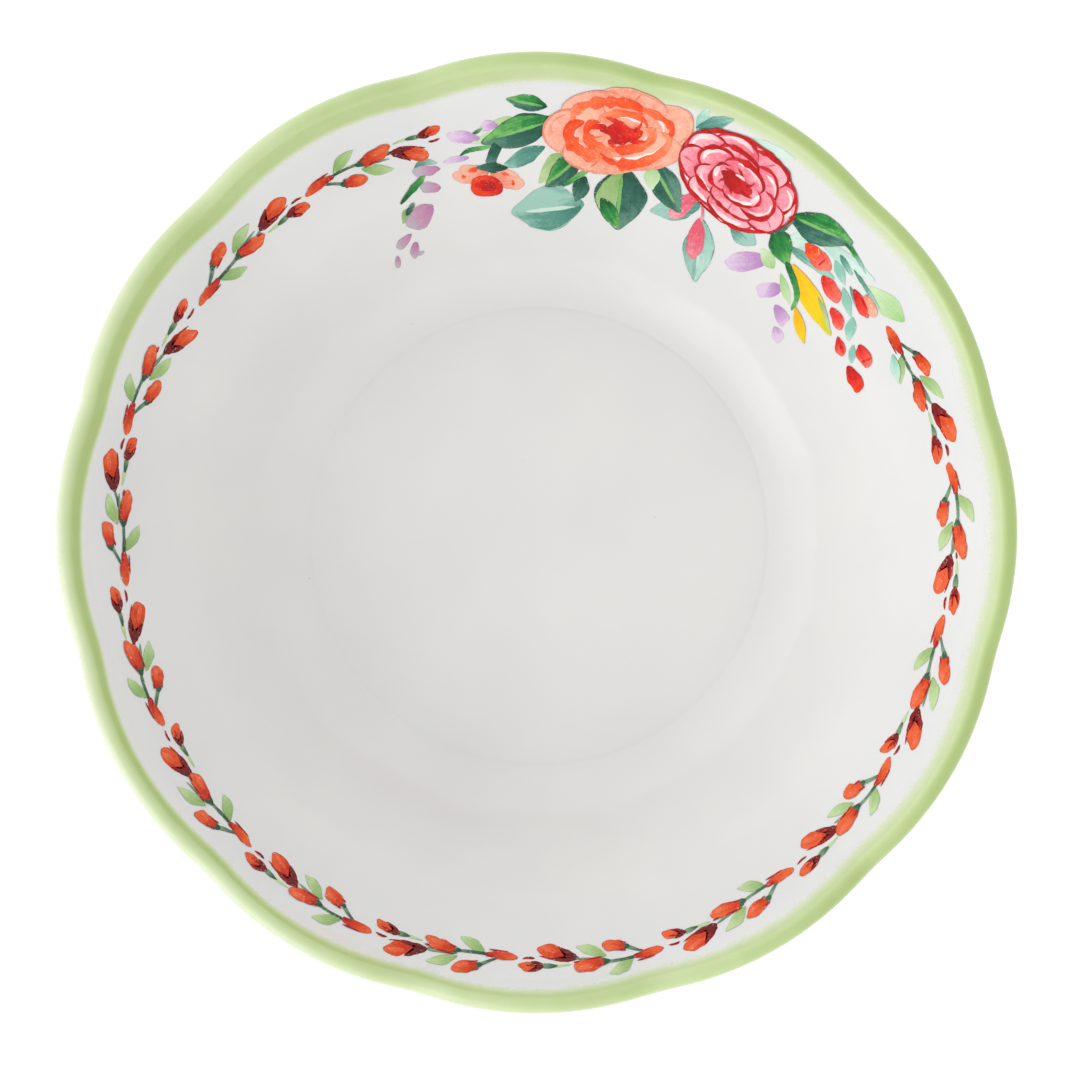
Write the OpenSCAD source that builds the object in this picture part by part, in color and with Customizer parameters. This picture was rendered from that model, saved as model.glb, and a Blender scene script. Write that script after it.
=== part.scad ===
// Scalloped porcelain serving bowl with a green rim band, a floral spray and a garland of buds.
// The fired clay body carries a foot ring, a coat of glaze and thin enamel transfers.
// The origin is the centre of the foot ring's resting face, with +Z up and the spray towards +Y.

/* [Bowl] */
// Diameter over the tops of the scallops
rim_d = 281; // [260:1:300]
// Overall height at the top of a scallop
bowl_h = 82; // [76:1:90]
// Radius of the flat well inside
well_r = 71; // [67:1:74]
// Thickness of the wall and floor
wall_t = 4.8; // [4:0.2:5.6]
// Radius of the rounded lip
lip_r = 2.9; // [2.6:0.1:3.4]
// Slope of the wall where it meets the lip, in degrees
rim_slope = 52; // [48:1:58]

/* [Scallops] */
// Number of scallops round the rim
scallops = 12; // [8:1:16]
// How far the rim drops at the crease between two scallops
rim_dip = 4; // [2:0.5:5]
// How far the rim is drawn in at a crease
rim_pinch = 1.3; // [1:0.1:2]

/* [Foot] */
// Height of the foot ring
foot_h = 5; // [4:0.5:7]
// Outer radius of the foot ring
foot_r = 66; // [60:1:67]
// Width of the foot ring
foot_w = 6; // [5:0.5:8]

/* [Glaze and decoration] */
// Thickness of the glaze coat
glaze_t = 0.3; // [0.2:0.1:0.5]
// Thickness of an enamel transfer
film_t = 0.15; // [0.1:0.05:0.3]
// Radius of the garland's middle line, seen from above
garland_r = 123; // [120:0.5:125]
// How far the garland's circle sits off the bowl's centre, away from the spray
garland_shift = 2.8; // [0:0.2:4]
// Mean angle between neighbouring sprigs of the garland, in degrees
sprig_pitch = 20.5; // [20:0.5:21.5]

/* [Hidden] */
last_sprig = 13; // the last sprig's number, counted clockwise from 0

segments = 96;
wall_steps = 9;
band_start = 0.945;      // where the rim band begins on the wall, as a share of the wall's curve
film_gap = 0.06;         // keeps a transfer clear of the glaze's flat facets
cove_reach = 20;         // how far the well's cove reaches outward
cove_rise = 2.2;         // how far it climbs over that reach, which makes the well's edge visible
wall_reach = 45;         // how far the rim's slope reaches back down the wall
first_sprig_angle = 15;  // direction of the first sprig's large bud
// How far each hand-placed sprig wanders from its even place, in degrees. The last is the spray's end.
sprig_drift = [0.3, -0.2, -1.4, -0.6, -0.7, 0.3, 0.6, 1.7, 1.6, 2.2, 1.6, 2.2, 0.9, -0.1, 0.2];
mm_per_degree = garland_r * PI / 180;

clay = "#e9e4da";
white_glaze = "#f4f4f2";
green = "#b4ce8c";
coral = "#f4947c";
red = "#d8301c";
pink = "#ec8296";
crimson = "#c0182c";
dark_green = "#33694f";
teal = "#74ada0";
light_green = "#9cc878";
lilac = "#c8a2cc";
yellow = "#fad02c";
bud_red = "#e2522c";

lip_c = [rim_d / 2 - lip_r, bowl_h - lip_r];
well_z = foot_h + wall_t;
well_edge = [well_r, well_z];
wall_top = lip_c + lip_r * [-sin(rim_slope), cos(rim_slope)];
cove_pull = well_edge + [cove_reach, cove_rise];
wall_pull = wall_top - wall_reach * [cos(rim_slope), sin(rim_slope)];

// The inner wall is one Bezier curve, from the well's edge at t = 0 to the lip at t = 1.
function wall_point(t) =
    pow(1 - t, 3) * well_edge + 3 * pow(1 - t, 2) * t * cove_pull
    + 3 * (1 - t) * t * t * wall_pull + pow(t, 3) * wall_top;
function wall_direction(t) =
    pow(1 - t, 2) * (cove_pull - well_edge) + 2 * (1 - t) * t * (wall_pull - cove_pull)
    + t * t * (wall_top - wall_pull);
function outward(t) = let (d = wall_direction(t)) [d.y, -d.x] / norm(d);
function thickness(t) = wall_t + (2 * lip_r - wall_t) * pow(t, 4);

function smooth(x) = let (c = min(1, max(0, x))) c * c * (3 - 2 * c);
// The scallops fade in up the wall: none in the well, and all of it near the rim.
function swell(t) = smooth((t - 0.03) / 0.82);
function ripple(x) = cos(x) - 0.2 * cos(2 * x) + 0.07 * cos(3 * x) - 0.03 * cos(4 * x);
// 0 at the middle of a scallop, and -1 at the crease between two.
function wave(a) = (ripple(scallops * a) - ripple(0)) / (ripple(0) - ripple(180));

// A ring of the profile is [radius, height, share of the scallop]. Depth is measured into the clay.
function inner_ring(t, depth) =
    let (p = wall_point(t) + depth * outward(t)) [p.x, p.y, swell(t)];
function outer_ring(t, depth) =
    let (p = wall_point(t) + (thickness(t) - depth) * outward(t)) [p.x, p.y, swell(t)];
function lip_ring(a, depth) =
    [lip_c.x + (lip_r - depth) * cos(a), lip_c.y + (lip_r - depth) * sin(a), 1];
function ring_point(ring, a) =
    let (w = wave(a) * ring[2], r = ring[0] + rim_pinch * w)
    [r * cos(a), r * sin(a), ring[1] + rim_dip * w];
function ring_points(rings) =
    [for (ring = rings, j = [0:segments - 1]) ring_point(ring, j * 360 / segments)];

// Lists of rings. Each list is followed clockwise round the section it encloses.
function inner_rings(from, to, depth) =
    [for (i = [0:wall_steps]) inner_ring(from + (to - from) * i / wall_steps, depth)];
function outer_rings(from, to, depth) =
    [for (i = [0:wall_steps]) outer_ring(from + (to - from) * i / wall_steps, depth)];
function lip_rings(depth) = [for (a = [30:30:150]) lip_ring(rim_slope + 90 - a, depth)];
function reversed(list) = [for (i = [len(list) - 1:-1:0]) list[i]];

function band_faces(i, k) =
    [for (j = [0:segments - 1]) let (n = (j + 1) % segments)
        each [[i * segments + j, i * segments + n, k * segments + n],
              [i * segments + j, k * segments + n, k * segments + j]]];

// A solid whose section is a closed loop round the axis.
module ring_solid(rings)
    polyhedron(ring_points(rings),
        [for (i = [0:len(rings) - 1]) each band_faces(i, (i + 1) % len(rings))], convexity = 6);

// A solid whose section starts at height top_z on the axis and ends at bottom_z on it.
module dish_solid(rings, top_z, bottom_z) {
    last = (len(rings) - 1) * segments;
    top = len(rings) * segments;
    polyhedron(concat(ring_points(rings), [[0, 0, top_z], [0, 0, bottom_z]]),
        concat(
            [for (i = [0:len(rings) - 2]) each band_faces(i, i + 1)],
            [for (j = [0:segments - 1]) [top, (j + 1) % segments, j]],
            [for (j = [0:segments - 1]) [top + 1, last + j, last + (j + 1) % segments]]),
        convexity = 6);
}

module bisque_body()
    color(clay)
    dish_solid(
        concat(inner_rings(0, 1, glaze_t), lip_rings(glaze_t), reversed(outer_rings(0, 1, glaze_t))),
        well_z - glaze_t, foot_h + glaze_t);

// The foot ring is turned from the same clay, and its resting face is left dry.
module foot_ring()
    color(clay)
    rotate_extrude($fn = 180)
    polygon([
        [foot_r - foot_w + 1.2, 0], [foot_r - 1.2, 0], [foot_r - 0.4, 0.8],
        [foot_r, foot_h + glaze_t], [foot_r - foot_w, foot_h + glaze_t],
        [foot_r - foot_w + 0.4, 0.8]]);

module inner_glaze()
    color(white_glaze)
    dish_solid(
        concat(inner_rings(0, band_start, 0), reversed(inner_rings(0, band_start, glaze_t))),
        well_z, well_z - glaze_t);

module outer_glaze() {
    foot_edge = [[foot_r + 0.1, foot_h, 0], [foot_r + 0.1, foot_h + glaze_t, 0]];
    color(white_glaze)
    ring_solid(concat(
        reversed(outer_rings(0, band_start, 0)), foot_edge, outer_rings(0, band_start, glaze_t)));
}

module base_glaze()
    color(white_glaze)
    translate([0, 0, foot_h])
    cylinder(r = foot_r - foot_w, h = glaze_t, $fn = 180);

// The green enamel band wraps over the lip and meets the glaze on both sides.
module rim_band() {
    steps = [0, 0.5, 1];
    inner_side = function (depth) [for (s = steps) inner_ring(band_start + (1 - band_start) * s, depth)];
    outer_side = function (depth) [for (s = steps) outer_ring(1 - (1 - band_start) * s, depth)];
    color(green)
    ring_solid(concat(
        inner_side(0), lip_rings(0), outer_side(0),
        reversed(outer_side(glaze_t)), reversed(lip_rings(glaze_t)), reversed(inner_side(glaze_t))));
}

// Transfers. Their outlines are drawn as seen from above and lie on the inner wall.
radius_table = [for (i = [0:60]) [wall_point(i / 60).x, i / 60]];
function share_at(r) = lookup(r, radius_table);
function facet_corner(i, j) =
    ring_point(inner_ring(band_start * i / wall_steps, 0), j * 360 / segments);
// The point of the glaze's own facets under a point seen from above, raised along the wall's normal.
function on_wall(p, lift) =
    let (a = atan2(p.y, p.x),
         t = share_at(norm(p) - rim_pinch * wave(a) * swell(share_at(norm(p)))),
         up = -lift * outward(t),
         across = a * segments / 360, along = t * wall_steps / band_start,
         j = floor(across), i = min(floor(along), wall_steps - 1),
         u = across - j, v = along - i,
         side = u > v ? facet_corner(i, j + 1) : facet_corner(i + 1, j))
    facet_corner(i, j) * (1 - max(u, v)) + side * abs(u - v) + facet_corner(i + 1, j + 1) * min(u, v)
    + [up.x * cos(a), up.x * sin(a), up.y];

// A film over an outline that is star-shaped about its middle, with inner rings of points that
// follow the wall's curve.
module film(outline, rings = 1) {
    n = len(outline);
    middle = [for (i = [0:1]) [for (p = outline) p[i]] * [for (p = outline) 1] / n];
    layer = function (lift) concat(
        [for (k = [1:rings], p = outline) on_wall(middle + (p - middle) * k / rings, lift)],
        [on_wall(middle, lift)]);
    size = n * rings + 1;
    edge = n * (rings - 1);
    polyhedron(concat(layer(film_gap + film_t), layer(film_gap)),
        concat(
            [for (j = [0:n - 1]) let (m = (j + 1) % n)
                each [[size - 1, m, j], [2 * size - 1, size + j, size + m],
                      [edge + j, edge + m, size + edge + m],
                      [edge + j, size + edge + m, size + edge + j]]],
            [for (k = [0:1:rings - 2], j = [0:n - 1]) let (m = (j + 1) % n, a = k * n, b = a + n)
                each [[a + j, a + m, b + m], [a + j, b + m, b + j],
                      [size + a + j, size + b + m, size + a + m],
                      [size + a + j, size + b + j, size + b + m]]]),
        convexity = 4);
}

function turned(p, a) = [p.x * cos(a) - p.y * sin(a), p.x * sin(a) + p.y * cos(a)];
// A leaf or bud from base to tip. Its fullest width is at the share belly of its length.
function leaf(base, tip, width, belly = 0.5, sides = 4) =
    let (axis = tip - base, across = turned(axis, 90) / norm(axis) * width / 2)
    [for (i = [0:2 * sides - 1])
        let (u = i <= sides ? i / sides : 2 - i / sides,
             s = i <= sides ? -1 : 1,
             half = pow(sin(180 * pow(u, ln(0.5) / ln(belly))), 0.75))
        base + axis * u + across * s * half];
// A round flower outline with petals, stretched and turned.
function flower(centre, long_r, short_r, turn, petals, notch) =
    [for (i = [0:4 * petals - 1])
        let (a = i * 90 / petals, s = 1 - notch * (1 + cos(petals * a)) / 2)
        centre + turned([long_r * s * cos(a), short_r * s * sin(a)], turn)];

module leaves(list) for (l = list) film(leaf(l[0], l[1], l[2], is_undef(l[3]) ? 0.5 : l[3]));

module coral_rose() color(coral) rose_petals([24.6, 118.8], 20.6, 10.8, -4, 10, 0.1, 0.42);
module coral_rose_heart() color(red) film(flower([24.6, 118.8], 8.4, 4.3, -4, 5, 0.1));
module pink_rose() color(pink) rose_petals([60.6, 104.1], 18.6, 12, -34, 9, 0.06, 0.4);
module pink_rose_heart() color(crimson) film(flower([60.6, 104.1], 7.2, 4.6, -34, 5, 0.1));

// Petals round a heart: each petal is a film of its own from the heart's edge outward.
module rose_petals(centre, long_r, short_r, turn, petals, notch, heart) {
    step = 360 / petals;
    for (k = [0:petals - 1]) {
        rim = [for (i = [-2:2]) let (a = (k + i / 4.4) * step, s = 1 - notch * abs(i) / 2)
            centre + turned([long_r * s * cos(a), short_r * s * sin(a)], turn)];
        root = [for (i = [2, 0, -2]) let (a = (k + i / 4.4) * step, s = heart + 0.06)
            centre + turned([long_r * s * cos(a), short_r * s * sin(a)], turn)];
        film(concat(rim, root));
    }
}

module red_blossom() color(red) film(flower([-15, 104.9], 10.8, 4.2, 2, 6, 0.15), 2);

module pink_buds() color(pink) leaves([[[48, 94.2], [46.2, 83.5], 5.4, 0.4]]);

module dark_leaves()
    color(dark_green)
    leaves([
        [[6, 121], [-16.5, 116], 8], [[3.3, 125.6], [-9, 127.2], 4], [[-12.8, 113.8], [-14, 111], 2.2],
        [[-8.5, 109.4], [-18.5, 109.9], 1.6], [[13.5, 112], [2.3, 104], 6.5], [[15, 104.5], [10.5, 101.5], 3.4],
        [[27, 108.5], [24, 92.8], 15, 0.45], [[34.6, 107.6], [42.8, 96.8], 6.4, 0.4],
        [[78.4, 93.6], [94, 84.5], 7, 0.4], [[72.6, 89.4], [73.5, 80.6], 5.4],
        [[74.3, 80], [76.8, 68.6], 1.8], [[-33.4, 106.6], [-40.8, 99.4], 1.8]]);

module teal_leaves()
    color(teal)
    leaves([
        [[2.5, 114.4], [-10.5, 110], 3.6], [[13.6, 97.4], [-7.4, 98.8], 12], [[40.5, 95.2], [34, 97], 4],
        [[52.8, 88], [46.6, 77.6], 4.2, 0.4], [[58, 89.4], [65.8, 86.6], 3], [[47.8, 119.2], [56.5, 118.6], 4.4],
        [[60.5, 114.8], [74.5, 107.6], 2.6], [[75.2, 83], [84.5, 76.2], 2], [[91.5, 82.4], [99, 74.6], 3],
        [[88.6, 80], [91, 74], 2.2], [[91.6, 71.5], [93, 65.4], 2], [[93.8, 64], [93.5, 58], 2.6],
        [[94, 56.4], [94.3, 51.4], 2]]);

module light_leaves()
    color(light_green)
    leaves([
        [[-7, 123.2], [-13.5, 121.9], 1.8], [[-15, 114.4], [-23.5, 113], 1.3], [[1, 107], [6, 113.4], 2.2],
        [[97.5, 73], [109.2, 62.2], 6.5, 0.6], [[68, 86.4], [70, 82.8], 1.8], [[-39.8, 98.4], [-41.4, 94.2], 1.8]]);

module lilac_sprig_left()
    color(lilac)
    leaves([
        [[-16.9, 117], [-26.5, 118], 3.2], [[-12.2, 120.8], [-17, 121], 2.6],
        [[-20.4, 111], [-28, 110.4], 1.8], [[-29.4, 109.4], [-37, 107.6], 2.6],
        [[-29.3, 103.4], [-34.6, 103.8], 3.4], [[-31.4, 99.6], [-38.4, 93.4], 5.6],
        [[-38.2, 90.8], [-42.2, 87.2], 2], [[-36.8, 88.6], [-37.6, 84], 2.2], [[-41.9, 84.6], [-43.2, 81], 1.9]]);

module lilac_sprig_right()
    color(lilac)
    leaves([
        [[69, 81.3], [57, 81.8], 5.4, 0.45], [[73.2, 74.4], [66, 73.6], 4.4],
        [[71.6, 69.6], [74.6, 63.6], 3.6], [[72.6, 63], [72.2, 58.2], 3.2]]);

module berry_spray()
    color(red)
    leaves([
        [[80.2, 85.6], [87, 78.6], 4.6], [[84.4, 76.4], [90, 68.6], 3.8],
        [[88.2, 67.6], [90.8, 61.2], 3], [[90.1, 59.2], [91.5, 53.4], 2.4], [[96.2, 56.4], [99.2, 50.2], 3.4],
        [[92.9, 50.4], [97.2, 43.2], 3.4], [[93.7, 72.4], [98.7, 63.8], 3]]);

module yellow_buds()
    color(yellow)
    leaves([[[76.8, 79.6], [88, 59.9], 4.6, 0.45], [[77.4, 67.4], [80.2, 57.4], 3, 0.4]]);

// Sprigs of the garland, numbered clockwise. Along a sprig, u is in degrees the way its buds point,
// from the middle of its large bud, and v is in millimetres towards the rim. Every other sprig is
// mirrored in the garland's middle line.
function sprig_name(k) = str("garland_sprig_", k < 9 ? "0" : "", k + 1);
function sprig_angle(k) = first_sprig_angle - k * sprig_pitch + (k < 0 ? 0 : sprig_drift[k]);
function sprig_point(k, p) =
    let (stretch = p.x < 0 ? 1 : (sprig_angle(k) - sprig_angle(k + 1)) / sprig_pitch,
         a = sprig_angle(k) - p.x * stretch / mm_per_degree,
         r = garland_r - garland_shift * sin(a) + (k % 2 == 0 ? 1 : -1) * p.y)
    [r * cos(a), r * sin(a)];

// A stroke is laid out flat, then bent round the garland's circle.
module stroke(k, base, tip, width, belly = 0.5, sides = 4) {
    flat = function (p) [p.x * mm_per_degree, p.y];
    outline = [for (p = leaf(flat(base), flat(tip), width, belly, sides)) sprig_point(k, p)];
    film(k % 2 == 0 ? reversed(outline) : outline);
}

// The large bud, and the small one on the other side of it.
module sprig_head(k) {
    color(bud_red) {
        stroke(k, [-2.7, 0.7], [2.7, 4], 4.4, 0.6);
        stroke(k, [1.6, -1], [5.2, -1.6], 2.8, 0.6);
    }
    color(teal) stroke(k, [-1.9, -0.9], [0.4, -1.05], 0.9, sides = 2);
    color(dark_green) stroke(k, [3.2, 1.1], [4.6, 1], 0.75, sides = 2);
}

// The branch that leads on to the next sprig, with three buds and two leaves.
module sprig_branch(k) {
    color(bud_red) {
        stroke(k, [9.9, 1.6], [5.3, 1.1], 2.7, 0.6);
        stroke(k, [10.3, -1.7], [14.1, -3.5], 3.5, 0.6);
        stroke(k, [13.5, 1.2], [18.3, 1.9], 3.6, 0.6);
    }
    color(light_green) {
        stroke(k, [10.3, 2.3], [13.5, 5], 2.8);
        stroke(k, [13.5, -0.3], [17.6, -3.5], 3);
    }
    color(dark_green) {
        stroke(k, [10.1, 1.5], [13.4, 1.25], 0.75, sides = 2);
        stroke(k, [8.5, -0.1], [10.2, -1.6], 1.1, sides = 2);
    }
}

module garland_lead_in() sprig_branch(-1);

module garland_sprig(k) {
    sprig_head(k);
    if (k < last_sprig) sprig_branch(k);
}

bisque_body();
foot_ring();
inner_glaze();
outer_glaze();
base_glaze();
rim_band();
coral_rose();
coral_rose_heart();
pink_rose();
pink_rose_heart();
red_blossom();
pink_buds();
dark_leaves();
teal_leaves();
light_leaves();
lilac_sprig_left();
lilac_sprig_right();
berry_spray();
yellow_buds();
garland_lead_in();
for (k = [0:last_sprig]) garland_sprig(k);
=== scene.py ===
import math
import random

import bpy
import numpy as np
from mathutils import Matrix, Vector


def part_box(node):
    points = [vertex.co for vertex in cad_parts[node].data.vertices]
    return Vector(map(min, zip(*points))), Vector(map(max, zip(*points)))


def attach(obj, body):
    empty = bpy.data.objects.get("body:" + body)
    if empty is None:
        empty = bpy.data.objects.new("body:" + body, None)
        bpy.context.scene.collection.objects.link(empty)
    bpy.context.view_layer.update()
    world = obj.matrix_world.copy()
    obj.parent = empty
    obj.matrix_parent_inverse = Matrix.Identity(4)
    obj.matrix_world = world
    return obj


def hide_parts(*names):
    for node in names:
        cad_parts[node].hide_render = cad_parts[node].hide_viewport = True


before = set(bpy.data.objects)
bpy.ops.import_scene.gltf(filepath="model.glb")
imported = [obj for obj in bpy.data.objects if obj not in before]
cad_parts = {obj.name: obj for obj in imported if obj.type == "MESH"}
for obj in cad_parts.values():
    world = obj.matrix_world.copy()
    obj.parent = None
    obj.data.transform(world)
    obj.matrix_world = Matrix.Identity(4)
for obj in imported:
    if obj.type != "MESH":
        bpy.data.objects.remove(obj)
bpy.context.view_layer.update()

# Driving dimensions in millimetres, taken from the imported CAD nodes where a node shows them.
MM = 0.001
RIM_R = round(2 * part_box("rim_band")[1].x / MM) / 2
BOWL_H = round(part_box("rim_band")[1].z / MM, 0)
FOOT_R = round(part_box("foot_ring")[1].x / MM, 0)
FOOT_H = round(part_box("base_glaze")[0].z / MM, 1)
FOOT_W = 6.0
WELL_R = 71.0
WALL_T = 4.8
LIP_R = 2.9
RIM_SLOPE = math.radians(52)
SCALLOPS = 12
RIM_DIP = 4.0
RIM_PINCH = 1.3
GLAZE_T = 0.3
BAND_START = 0.945
GARLAND_R = 123.1
GARLAND_SHIFT = 2.8
# Direction of each sprig's large bud in degrees, clockwise from the right, and the next sprig's place.
SPRIG_ANGLES = (
    15.3, -5.7, -27.4, -47.1, -67.7, -87.2, -107.4, -126.8,
    -147.4, -167.3, -188.4, -208.3, -230.1, -251.6, -271.8,
)
# How far each sprig sits in from the garland's circle
SPRIG_IN = (0.1, 0.1, 1.7, 0, -0.5, -0.4, 0.2, -0.9, 1.5, -0.2, -1.2, -0.6, 0.6, -1.1, 0)
SPRIG_PITCH = 20.5
SPRIGS = len(SPRIG_ANGLES) - 1
SEGMENTS = 600


# ---------------------------------------------------------------------------
# The bowl's surface: one Bezier wall, swept round the axis and scalloped
# ---------------------------------------------------------------------------
LIP_C = np.array([RIM_R - LIP_R, BOWL_H - LIP_R])
WELL_EDGE = np.array([WELL_R, FOOT_H + WALL_T])
WALL_TOP = LIP_C + LIP_R * np.array([-math.sin(RIM_SLOPE), math.cos(RIM_SLOPE)])
COVE_PULL = WELL_EDGE + np.array([20.0, 2.2])
WALL_PULL = WALL_TOP - 45 * np.array([math.cos(RIM_SLOPE), math.sin(RIM_SLOPE)])


def wall_point(t):
    t = np.asarray(t, float)[..., None]
    return (
        (1 - t) ** 3 * WELL_EDGE
        + 3 * (1 - t) ** 2 * t * COVE_PULL
        + 3 * (1 - t) * t**2 * WALL_PULL
        + t**3 * WALL_TOP
    )


def wall_outward(t):
    t = np.asarray(t, float)[..., None]
    d = (1 - t) ** 2 * (COVE_PULL - WELL_EDGE)
    d = d + 2 * (1 - t) * t * (WALL_PULL - COVE_PULL) + t**2 * (WALL_TOP - WALL_PULL)
    d = d / np.linalg.norm(d, axis=-1, keepdims=True)
    return np.stack([d[..., 1], -d[..., 0]], -1)


def smooth(x):
    c = np.clip(x, 0, 1)
    return c * c * (3 - 2 * c)


def swell(t):
    """How much of the scallop shows at share t of the wall."""
    return smooth((np.asarray(t, float) - 0.03) / 0.82)


def ripple(x):
    return np.cos(x) - 0.2 * np.cos(2 * x) + 0.07 * np.cos(3 * x) - 0.03 * np.cos(4 * x)


def wave(a):
    """0 at the middle of a scallop and -1 at the crease between two. a is in radians."""
    return (ripple(SCALLOPS * a) - ripple(0.0)) / (ripple(0.0) - ripple(math.pi))


def sweep(r, z, share, a):
    """The points of rings [r, z, share] at the angles a, as an array of rings by angles by 3."""
    w = wave(a)[None, :] * np.asarray(share)[:, None]
    radius = np.asarray(r)[:, None] + RIM_PINCH * w
    height = np.asarray(z)[:, None] + RIM_DIP * w
    return np.stack([radius * np.cos(a), radius * np.sin(a), height], -1)


def skin_profile():
    """Rings from the middle of the well, up the inner wall, over the lip and down outside."""
    well = np.concatenate([np.linspace(0.6, WELL_R - 6, 14), np.linspace(WELL_R - 4, WELL_R - 0.1, 14)])
    groove = 0.09 * np.exp(-(((well - WELL_R + 0.9) / 0.6) ** 2))
    t_in = np.concatenate([np.linspace(0, BAND_START, 100), np.linspace(BAND_START, 1, 9)[1:]])
    t_out = np.concatenate([np.linspace(1, BAND_START, 9), np.linspace(BAND_START, 0, 80)[1:]])
    p_in = wall_point(t_in)
    p_out = wall_point(t_out)
    thick = WALL_T + (2 * LIP_R - WALL_T) * t_out**4
    p_out = p_out + thick[:, None] * wall_outward(t_out)
    lip_a = np.linspace(RIM_SLOPE + math.pi / 2, RIM_SLOPE - math.pi / 2, 19)[1:-1]
    lip = LIP_C + LIP_R * np.stack([np.cos(lip_a), np.sin(lip_a)], -1)
    foot = np.array([[FOOT_R + 0.05, FOOT_H]])
    flat = np.stack([well, WELL_EDGE[1] - groove], -1)
    rz = np.concatenate([flat, p_in, lip, p_out, foot])
    share = np.concatenate([0 * well, swell(t_in), 1 + 0 * lip_a, swell(t_out), [0]])
    band = (len(well) + 99, len(well) + len(t_in) + len(lip) + 8)
    return rz[:, 0], rz[:, 1], share, band


def grid_normals(p):
    """Normals of a grid of rings by angles, pointing out of the clay."""
    along = np.gradient(p, axis=0)
    around = np.roll(p, -1, axis=1) - np.roll(p, 1, axis=1)
    n = np.cross(along, around)
    return n / np.linalg.norm(n, axis=-1, keepdims=True)


ANGLES = np.arange(SEGMENTS) * 2 * math.pi / SEGMENTS
SKIN_R, SKIN_Z, SKIN_SHARE, BAND_ROWS = skin_profile()
SKIN = sweep(SKIN_R, SKIN_Z, SKIN_SHARE, ANGLES)
SKIN_NORMAL = grid_normals(SKIN)


# ---------------------------------------------------------------------------
# Meshes
# ---------------------------------------------------------------------------
def strip_faces(rows, columns, start=0):
    """Quads between consecutive closed rings."""
    k, j = np.meshgrid(np.arange(rows - 1), np.arange(columns), indexing="ij")
    n = (j + 1) % columns
    a = start + k * columns
    return np.stack([a + j, a + columns + j, a + columns + n, a + n], -1).reshape(-1, 4)


def add_mesh(name, points, faces, normals=None):
    """A smooth mesh from points in millimetres, with exact normals where they are given."""
    mesh = bpy.data.meshes.new(name)
    mesh.from_pydata((np.asarray(points) * MM).tolist(), [], [list(map(int, f)) for f in faces])
    mesh.polygons.foreach_set("use_smooth", np.ones(len(mesh.polygons), bool))
    mesh.update()
    if normals is not None:
        corner = np.zeros(len(mesh.loops), np.int32)
        mesh.loops.foreach_get("vertex_index", corner)
        mesh.normals_split_custom_set(normals[corner].tolist())
    piece = bpy.data.objects.new(name, mesh)
    bpy.context.scene.collection.objects.link(piece)
    return piece


def shell(name, first, last, pole=False, step=6):
    """A thin closed coat over skin rows first to last, with its hidden side in the clay."""
    top, n = SKIN[first : last + 1], SKIN_NORMAL[first : last + 1]
    picks = sorted(set(range(0, len(top), step)) | {len(top) - 1}, reverse=True)
    under = (top - GLAZE_T * n)[picks]
    rings = np.concatenate([top, under])
    faces = strip_faces(len(rings), SEGMENTS).tolist()
    points, count = rings.reshape(-1, 3), len(rings) * SEGMENTS
    normals = np.concatenate([n, -n[picks]]).reshape(-1, 3)
    if pole:
        tip = [[0, 0, top[0, 0, 2]], [0, 0, under[-1, 0, 2]]]
        base = (len(rings) - 1) * SEGMENTS
        for j in range(SEGMENTS):
            k = (j + 1) % SEGMENTS
            faces += [[count, j, k], [count + 1, base + k, base + j]]
        points = np.concatenate([points, tip])
        normals = np.concatenate([normals, [[0, 0, 1], [0, 0, -1]]])
    else:
        base = (len(rings) - 1) * SEGMENTS
        for j in range(SEGMENTS):
            k = (j + 1) % SEGMENTS
            faces.append([base + j, j, k, base + k])
    return add_mesh(name, points, faces, normals)


def turned(name, profile, segments=360):
    """A closed turned solid from a loop of [radius, height] points with rounded corners."""
    pts = np.array(profile, float)
    for _ in range(2):
        nxt = np.roll(pts, -1, axis=0)
        pts = np.stack([0.75 * pts + 0.25 * nxt, 0.25 * pts + 0.75 * nxt], 1).reshape(-1, 2)
    a = np.arange(segments) * 2 * math.pi / segments
    grid = sweep(pts[:, 0], pts[:, 1], 0 * pts[:, 0], a)
    faces = strip_faces(len(pts), segments).tolist()
    base = (len(pts) - 1) * segments
    faces += [[base + j, j, (j + 1) % segments, base + (j + 1) % segments] for j in range(segments)]
    return add_mesh(name, grid.reshape(-1, 3), faces)


def set_values(piece, name, values):
    piece.data.attributes.new(name, "FLOAT", "POINT").data.foreach_set(
        "value", np.asarray(values, np.float32).ravel()
    )


def finish_piece(piece, nodes, materials):
    for m in materials:
        piece.data.materials.append(m)
    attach(piece, "root")
    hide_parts(*nodes)
    return piece


# ---------------------------------------------------------------------------
# Materials
# ---------------------------------------------------------------------------
def linear(rgb):
    c = np.array(rgb, float) / 255
    c = np.where(c <= 0.04045, c / 12.92, ((c + 0.055) / 1.055) ** 2.4)
    return (*c.tolist(), 1.0)


def paint_colour(rgb):
    """The base colour that looks like rgb once the clear glaze over it has added its sheen."""
    return (*[max(0.003, (c - 0.02) / 1.02) for c in linear(rgb)[:3]], 1.0)


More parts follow.
